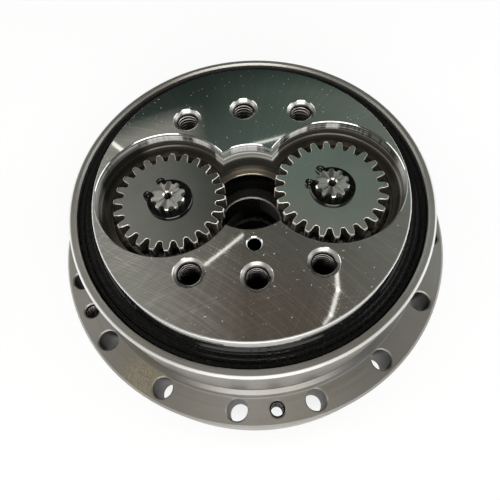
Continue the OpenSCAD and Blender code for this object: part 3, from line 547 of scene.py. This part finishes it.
# Painted shade on the far left of the left pocket, and between the patches of painted reflection
# near the top.
shaded_side = (0 - shaft_x).step(0.0440, 0.0500) * (0.50 + depth.step(0.0014, 0.0032) * 0.42)
wall_painted_shade = (1 - wall_reflections) * near_top * 0.62 + reflection_bars.step(0.52, 0.60) * near_top * 0.15
wall_painted_shade = wall_painted_shade + wall_marks.step(0.54, 0.46) * 0.30 + wall_bands.step(0.52, 0.44) * 0.15
wall_painted_shade = wall_painted_shade.larger(shaded_side)
in_light = near_top.larger(central * depth.step(0.0105, 0.0090)) * 0.7 + 0.3
wall_shade = shaft_finish.mix(shaft_finish.mix(pocket_light_and_shade, central_light_and_shade, central),
                              wall_dark, wall_painted_shade)
wall_shade = shaft_finish.mix(shaft_finish.mix(wall_shade, floor_oil, on_floor), ledge_oil, ledge)
# Painted highlight: the outer side of the rim is near white.
rim_side_light = shaft_finish.mix((0.75, 0.74, 0.72), (1.0, 1.0, 0.98), wall_bands)
# Painted shade: the bore and the drilled holes are near black.
sunk_shade = shaft_finish.mix(
    shaft_finish.mix(wall_shade, rim_side_light, rimward), bore_shadow, in_bore)

# The face: lathe marks, hand scratches that sweep round far centres, a little dust,
# painted reflections in wedges round the axis, and painted light and shade round the mouths of the
# tapped holes.
face_marks = shaft_finish.round_marks((0, 0, 0), 3000, 1.0)
face_bands = shaft_finish.round_marks((0, 0, 0), 420, 0.4)
face_oil = shaft_finish.noise(shaft_finish.place(), 24, 3)
swept = (shaft_finish.round_marks((-0.11, -0.17, 0), 1900, 4.5).step(0.50, 0.78)
         + shaft_finish.round_marks((0.05, -0.26, 0), 1700, 7).step(0.54, 0.80) * 0.8
         + shaft_finish.scratches(0.5, 2300, 14, 0.66) * 0.6
         + shaft_finish.scratches(-0.9, 2300, 18, 0.68) * 0.6)
handled = (shaft_x * -0.5 - shaft_y).step(-0.012, 0.045)
handled = handled.larger((0 - shaft_x).step(0.030, 0.052) * 0.8)
hairlines = swept * (0.16 + handled * 0.84) * (1 - sunk)
dust = shaft_finish.noise(shaft_finish.place(), 1100, 0).step(0.840, 0.850) * (1 - sunk) * 0.5
# Painted reflections: bright and dark wedges that radiate from the axis.
radial_sheen = shaft_finish.noise(shaft_finish.join(
    shaft_x / shaft_r * 30, shaft_y / shaft_r * 30, shaft_r * 25), 1, 2)
radial_sheen = (radial_sheen - 0.5) * (1 - sunk)
face_shade = shaft_finish.mix(
    shaft_finish.mix(shaft_grey, shaft_warm, face_oil.step(0.38, 0.66)),
    scratch_and_sheen_bright, hairlines * 0.34 + radial_sheen * 0.30 + dust)
# Painted light and shade round the mouths of the tapped holes, by the way the chamfer faces.
facing_x, facing_y = shaft_finish.facing()[:2]
tap_mouth_light = shaft_finish.mix((0.14, 0.136, 0.125), (0.48, 0.47, 0.445),
                               (facing_x * 0.2 - facing_y).step(0.10, 0.60))
face_shade = shaft_finish.mix(face_shade, tap_mouth_light, tap_mouth)
# Painted shade: a dark ring where the first thread starts.
face_shade = shaft_finish.mix(face_shade, thread_groove_shadow, first_thread)
shaft_finish.feed(shaft_finish.shader, {
    "Base Color": shaft_finish.mix(face_shade, sunk_shade, sunk),
    "Metallic": (1 - sunk * (1 - in_bore) * (1 - mouth) * in_light * 0.8) * (1 - dust * 0.8),
    "Roughness": (0.030 + (face_bands - 0.5) * 0.02 + hairlines * 0.022 + radial_sheen * 0.02
                  + sunk * 0.21 + tap_mouth * 0.38 + mouth * 0.35),
    "Normal": shaft_finish.bump(
        face_marks * (1 - sunk) * 0.05 + hairlines * 0.03 + wall_marks * sunk * 9,
        0.000005, 0.8)})
dress("output_shaft", shaft_finish)


# ---- Threads of the output holes ----
# The six holes in the output face are tapped M12. The cut threads carry painted light near the
# mouth and painted shade further down.

tap_pitch = 0.00175
thread_start, thread_end = tap_top + 0.0008, tap_top - 0.0195
tap_work = bmesh.new()
for tap_x, tap_y in tap_places:
    inside_thread(tap_work, tap_x, tap_y, thread_start, thread_end, tap_wall, thread_depth,
                  tap_pitch)
bmesh.ops.recalc_face_normals(tap_work, faces=tap_work.faces)
light_crests(tap_work)
smooth_below(tap_work, thread_crease)
piece("output_hole_threads", tap_work, thread_finishes("tap_thread", tap_top), "carrier")


# ---- Grease ----
# Dark grease that the gears have thrown off lies in a lumpy ring at the foot of each pocket,
# and is still wet.

grease_finish = new_finish("dark_grease", Coat_Weight=0.9, Coat_Roughness=0.05,
                           Specular_IOR_Level=0.4)
grease_grain = grease_finish.noise(grease_finish.place(), 380, 3)
grease_finish.feed(grease_finish.shader, {
    "Base Color": grease_finish.mix((0.012, 0.010, 0.008), (0.10, 0.085, 0.062),
                                    grease_grain.step(0.45, 0.75)),
    "Roughness": 0.18 + grease_grain * 0.2,
    "Normal": grease_finish.bump(grease_grain, 0.00025, 0.7)})
grease_foot, grease_turn = face_z - 0.0155, radians(244)
for side in ("left", "right"):
    at = middle_of(f"spur_gear_{side}")
    gear_low, gear_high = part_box(f"spur_gear_{side}")
    gear_tip = (gear_high[1] - gear_low[1]) / 2
    grease_top = gear_low[2] - 0.0004
    half_way = (grease_foot + grease_top) / 2
    section = [(gear_tip - 0.0045, grease_foot), (gear_tip + 0.0025, grease_foot),
               (gear_tip + 0.0022, half_way), (gear_tip - 0.0002, grease_top),
               (gear_tip - 0.0030, half_way)]
    inward = pi if at[0] > 0 else 0.0
    start = inward + radians(58)
    grease_work = bmesh.new()
    corners = [grease_work.verts.new((at[0] + r * cos(start), at[1] + r * sin(start), z))
               for r, z in section]
    end_face = grease_work.faces.new(corners)
    bmesh.ops.spin(grease_work, geom=[end_face, *end_face.edges, *corners],
                   cent=(at[0], at[1], 0), axis=(0, 0, 1), angle=grease_turn, steps=110,
                   use_merge=False, use_duplicate=False)
    bmesh.ops.recalc_face_normals(grease_work, faces=grease_work.faces)
    for vert in grease_work.verts:
        lump = noise.noise(vert.co * 420) * 0.5 + noise.noise(vert.co * 900) * 0.3
        rise = max(0.15, min(1.0, 0.62 + lump * 1.3))
        vert.co.z = grease_foot + (vert.co.z - grease_foot) * rise
    for face in grease_work.faces:
        face.smooth = True
    piece(f"pocket_grease_{side}", grease_work, (grease_finish,), "carrier")


# ---- Hold flange and its fasteners ----
# The flange closes the carrier from below. Socket-head screws with a black oxide coat and
# plain dowel pins clamp it to the ends of the columns.

flange_finish = turned_steel(
    "turned_hold_flange", (0.47, 0.47, 0.455), (0.42, 0.40, 0.36), 0.30, (0, 0, 0), 0.45)
dress("hold_flange", flange_finish)

bolt_finish = new_finish("black_oxide", Metallic=0.6, Coat_Weight=0.3)
bolt_grain = bolt_finish.noise(bolt_finish.place(), 700, 3)
bolt_finish.feed(bolt_finish.shader, {
    "Base Color": bolt_finish.mix((0.022, 0.022, 0.024), (0.07, 0.068, 0.065),
                                  bolt_grain.step(0.4, 0.75)),
    "Roughness": 0.34 + bolt_grain * 0.2,
    "Normal": bolt_finish.bump(bolt_grain, 0.00004)})
dress("clamp_bolts", bolt_finish)
dress("dowel_pins", pin_finish)


# ---- Spur gears ----
# The two driven gears of the first stage, slid on to the splines of the cranks. Their faces are
# ground, and every tooth end has a fine chamfer left by the deburring brush, bright partly from
# brushing and partly as a painted highlight. The gears' tones carry painted light and shade.

gear_chamfer = 0.00020
weld_gap, flat_angle, sharp_angle, crease = 0.000002, radians(0.8), radians(38), radians(28)


def crisp_copy(node, edge):
    """A CAD solid as one closed mesh, with a fine chamfer on its sharp edges. Flat faces take
    the first finish, the chamfers the second and the sides the third."""
    work = bmesh.new()
    work.from_mesh(cad_mesh(node))
    bmesh.ops.remove_doubles(work, verts=work.verts, dist=weld_gap)
    bmesh.ops.dissolve_limit(work, angle_limit=flat_angle, verts=work.verts, edges=work.edges)
    work.normal_update()
    sharp = [e for e in work.edges if e.is_manifold and e.calc_face_angle() > sharp_angle]
    bevelled = bmesh.ops.bevel(work, geom=sharp, offset=edge, offset_type="OFFSET", segments=1,
                               profile=0.5, affect="EDGES", clamp_overlap=True, material=-1)
    work.normal_update()
    for face in work.faces:
        face.material_index = 0 if abs(face.normal.z) > 0.9 else 2
    for face in bevelled["faces"]:
        face.material_index = 1
    bmesh.ops.triangulate(work, faces=[f for f in work.faces if len(f.verts) > 4])
    smooth_below(work, crease)
    return work


# The chamfers' light colour is partly brushed steel and partly a painted highlight.
edge_finish = polished_steel("brushed_edges", (0.80, 0.75, 0.67), 0.38, 0.45)
tooth_finish = polished_steel("oiled_tooth_sides", (0.34, 0.32, 0.285), 0.26, 0.92)
# The gears are the same steel: the left one's darker tone and the right one's lighter tone are
# painted light and shade.
for side, gear_lit_tone in (("left", (0.22, 0.23, 0.22)), ("right", (0.47, 0.52, 0.495))):
    at = middle_of(f"spur_gear_{side}")
    gear_finish = new_finish(f"ground_gear_{side}", Metallic=1.0, Anisotropic=0.3,
                             Anisotropic_Rotation=0.25)
    gear_marks = gear_finish.round_marks((at[0], at[1], 0), 1800, 2.2)
    gear_film = gear_finish.noise(gear_finish.place(at), 60, 3)
    gear_x, gear_y = gear_finish.split(gear_finish.place(at))[:2]
    # Painted light and shade: each face is lighter at the lower left and darker at the upper right.
    gear_light_lean = (gear_x + gear_y * 0.4).step(-0.020, 0.022)
    gear_hair = gear_finish.scratches(0.9 if side == "left" else -0.4, 3200, 60, 0.74)
    gear_finish.feed(gear_finish.shader, {
        "Base Color": gear_finish.mix(
            tuple(1.25 * c for c in gear_lit_tone), tuple(0.75 * c for c in gear_lit_tone),
            gear_film.step(0.4, 0.66) * 0.2 + gear_light_lean * 0.8),
        "Roughness": 0.17 + (gear_film - 0.5) * 0.08 + gear_hair * 0.12,
        "Normal": gear_finish.bump(gear_marks * 0.6 + gear_hair * 0.5, 0.000010, 0.6)})
    gear = piece(f"spur_gear_{side}_chamfered",
                 crisp_copy(f"spur_gear_{side}", gear_chamfer),
                 (gear_finish, edge_finish, tooth_finish), f"crank_{side}")
    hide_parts(f"spur_gear_{side}")


# ---- Gear circlips ----
# Retaining rings stamped from spring steel, black and wet with oil, with an eye in each lug.
# They sit in a groove of the spline and keep the gear on.

clip_chamfer = 0.00022
for side in ("left", "right"):
    clip_finish = new_finish(f"oiled_spring_steel_{side}", Specular_IOR_Level=0.08)
    clip_edge = polished_steel(f"oiled_spring_edge_{side}", (0.055, 0.055, 0.052), 0.12)
    clip_oil = clip_finish.noise(clip_finish.place(), 620, 3)
    clip_finish.feed(clip_finish.shader, {
        "Base Color": clip_finish.mix((0.001, 0.001, 0.001), (0.005, 0.0048, 0.0045),
                                      clip_oil.step(0.4, 0.7)),
        "Roughness": 0.10 + clip_oil * 0.08,
        "Normal": clip_finish.bump(clip_oil.step(0.50, 0.62), 0.00002, 0.6)})
    clip = piece(f"gear_circlip_{side}_rounded",
                 crisp_copy(f"gear_circlip_{side}", clip_chamfer),
                 (clip_finish, clip_edge, clip_finish), f"crank_{side}")
    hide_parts(f"gear_circlip_{side}")


# ---- Oil seal ----
# A moulded nitrile lip seal on a steel insert, pressed in the case. It is glossy with oil, and
# fine mould lines run round it between its two ridges.

seal_finish = new_finish("oiled_nitrile", Specular_IOR_Level=0.14)
seal_lines = seal_finish.round_marks((0, 0, 0), 1100, 0.6)
seal_grain = seal_finish.noise(seal_finish.place(), 900, 2)
seal_drops = (seal_finish.round_marks((0, 0, 0), 520, 18).step(0.66, 0.72)
              + seal_finish.noise(seal_finish.place(), 430, 2).step(0.68, 0.72))
seal_finish.feed(seal_finish.shader, {
    "Base Color": seal_finish.mix((0.002, 0.002, 0.002), (0.005, 0.005, 0.0048),
                                  seal_grain.step(0.4, 0.7)),
    "Roughness": 0.07 + seal_grain * 0.06 - seal_drops * 0.03,
    "Normal": seal_finish.bump(seal_lines * 0.035 + seal_drops * 1.8, 0.00006, 0.7)})
dress("oil_seal", seal_finish)
dress("seal_insert", race_finish)
spring_finish = polished_steel("spring_wire", (0.50, 0.50, 0.50), 0.2)
dress("garter_spring", spring_finish)


# ---- Floor, light and camera ----
# A plain pale table in a bright room: three soft lamps, a darker ceiling that the polished face
# mirrors, and thin lamp tubes. The camera stands above the front edge of the unit.

floor_half = 3.0
floor_work = bmesh.new()
bmesh.ops.create_grid(floor_work, x_segments=1, y_segments=1, size=floor_half)
floor_mesh = bpy.data.meshes.new("floor")
floor_work.to_mesh(floor_mesh)
floor_work.free()
floor = bpy.data.objects.new("floor", floor_mesh)
bpy.context.scene.collection.objects.link(floor)
floor_finish = new_finish("pale_table", Roughness=0.9)
seen, mirrored = [floor_finish.node("ShaderNodeLightPath", {}, {}, ray)
                  for ray in ("Is Camera Ray", "Is Glossy Ray")]
glow = floor_finish.node("ShaderNodeEmission", {}, {"Color": (1, 1, 1, 1), "Strength": 1.0})
table = Wire(floor_finish, floor_finish.shader.outputs[0])
floor_x, floor_y = floor_finish.split(floor_finish.place())[:2]
floor_r_squared = floor_x * floor_x + floor_y * floor_y
# Painted shadow: the floor is dark, and does not glow, where the unit stands.
beyond_painted_shadow = floor_r_squared.step(0.0055, 0.0063)  # dark where the unit stands
far_off = floor_r_squared.step(0.10, 0.45) * seen * 0.24
floor_finish.feed(floor_finish.shader, {
    "Base Color": floor_finish.mix((0.03, 0.03, 0.03), (0.82, 0.82, 0.82), beyond_painted_shadow)})
lit = floor_finish.node("ShaderNodeMixShader", {}, {
    0: (seen * 0.76 + mirrored * 0.35 + far_off) * beyond_painted_shadow, 1: table, 2: glow})
floor_out = floor_finish.tree.nodes["Material Output"]
floor_finish.feed(floor_out, {"Surface": lit})
floor_mesh.materials.append(floor_finish.material)

world = bpy.data.worlds.new("studio")
world.use_nodes = True
bpy.context.scene.world = world
sky = Finish(world.node_tree)
sky_x, sky_y, sky_z = sky.split(sky.node("ShaderNodeTexCoord", {}, {}, "Generated"))
dome = sky.node("ShaderNodeValToRGB", {"stops": [
    (0.0, (1, 1, 1)), (0.20, (1, 1, 1)), (0.38, (0.55, 0.56, 0.55)),
    (0.56, (0.10, 0.12, 0.11)), (0.66, (0.030, 0.045, 0.038)), (0.72, (0.065, 0.092, 0.080)),
    (0.78, (0.15, 0.19, 0.17)), (0.90, (0.20, 0.19, 0.165)), (1.0, (0.21, 0.165, 0.135))]},
    {0: sky_z})
pale_left = ((0 - sky_x).step(0.02, 0.27) * sky_z.step(0.80, 0.87)
             + (0 - sky_x).step(0.08, 0.15) * sky_z.step(0.715, 0.74) * sky_z.step(0.87, 0.80))
green_right = sky_x.step(-0.08, 0.15) * sky_z.step(0.67, 0.71) * sky_z.step(0.84, 0.78)
dome = sky.mix(dome, (0.18, 0.24, 0.21), green_right)
pale_right = sky_x.step(0.12, 0.42) * sky_z.step(0.68, 0.72) * 0.5
dome = sky.mix(sky.mix(dome, (0.55, 0.535, 0.485), pale_left), (0.56, 0.56, 0.50), pale_right)


def tube(x0, y0, x1, y1, width, strength):
    """A thin lamp tube overhead. It runs from one direction to another, each given by the X and
    Y of a unit vector."""
    run_x, run_y = x1 - x0, y1 - y0
    along = ((sky_x - x0) * run_x + (sky_y - y0) * run_y) / (run_x ** 2 + run_y ** 2)
    along = along.smaller(1.0).larger(0.0)
    off = from_axis(sky_x - x0 - along * run_x, sky_y - y0 - along * run_y)
    return off.step(width, width * 0.6) * sky_z.step(0.0, 0.1) * strength


tubes = (tube(0.187, 0.375, 0.186, 0.314, 0.0052, 1.9)
         + tube(0.186, 0.314, 0.165, 0.263, 0.0052, 1.9)
         + tube(0.165, 0.263, 0.148, 0.245, 0.0040, 1.7)
         + tube(-0.112, 0.393, -0.020, 0.4515, 0.0036, 2.0)
         + tube(0.0128, 0.6214, 0.0921, 0.6294, 0.0024, 1.9)
         + tube(-0.281, 0.617, -0.256, 0.602, 0.0048, 1.9))
to_camera, glossy, through = [sky.node("ShaderNodeLightPath", {}, {}, ray) for ray in (
    "Is Camera Ray", "Is Glossy Ray", "Is Transmission Ray")]
plain = sky.node("ShaderNodeBackground", {}, {"Color": (1, 1, 1, 1), "Strength": 0.55})
shown = sky.node("ShaderNodeAddShader", {}, {
    0: sky.node("ShaderNodeBackground", {}, {"Color": dome, "Strength": 1.0}),
    1: sky.node("ShaderNodeBackground", {}, {"Color": (1.0, 0.97, 0.92, 1), "Strength": tubes})})
sky_mix = sky.node("ShaderNodeMixShader", {}, {
    0: to_camera.larger(glossy).larger(through), 1: plain, 2: shown})
sky.feed(world.node_tree.nodes["World Output"], {"Surface": sky_mix})


def soft_lamp(name, place, target, width, height, power, colour):
    """A large rectangular lamp that faces a point."""
    lamp = bpy.data.lights.new(name, "AREA")
    lamp.shape = "RECTANGLE"
    lamp.size = width
    lamp.size_y = height
    lamp.energy = power
    lamp.color = colour
    made = bpy.data.objects.new(name, lamp)
    made.location = place
    made.rotation_euler = (Vector(target) - Vector(place)).to_track_quat("-Z", "Y").to_euler()
    bpy.context.scene.collection.objects.link(made)


lit_point = (0, 0, 0.06)
soft_lamp("left_box", (-0.85, 0.15, 0.45), lit_point, 0.7, 0.5, 3, (1.0, 0.99, 0.96))
soft_lamp("right_box", (0.85, 0.10, 0.45), lit_point, 0.7, 0.5, 3, (0.97, 0.99, 1.0))
soft_lamp("front_box", (0.0, -0.75, 0.75), lit_point, 0.9, 0.6, 9, (1.0, 0.98, 0.95))

lens_data = bpy.data.cameras.new("view")
lens_data.lens = 31.1
lens_data.sensor_width = 36.0
camera = bpy.data.objects.new("view", lens_data)
height, reach = radians(56.62), 0.18727
swing, lean, dip, roll = radians(-0.55), radians(0.554), radians(-8.582), radians(-4.0)
stand = Matrix.Translation((0, -reach * cos(height), face_z + reach * sin(height)))
camera.matrix_world = (
    Matrix.Rotation(swing, 4, "Z") @ stand @ Matrix.Rotation(pi / 2 - height, 4, "X")
    @ Matrix.Rotation(lean, 4, "Y") @ Matrix.Rotation(dip, 4, "X") @ Matrix.Rotation(roll, 4, "Z"))
bpy.context.scene.collection.objects.link(camera)
bpy.context.scene.camera = camera
bpy.context.scene.view_settings.view_transform = "Standard"
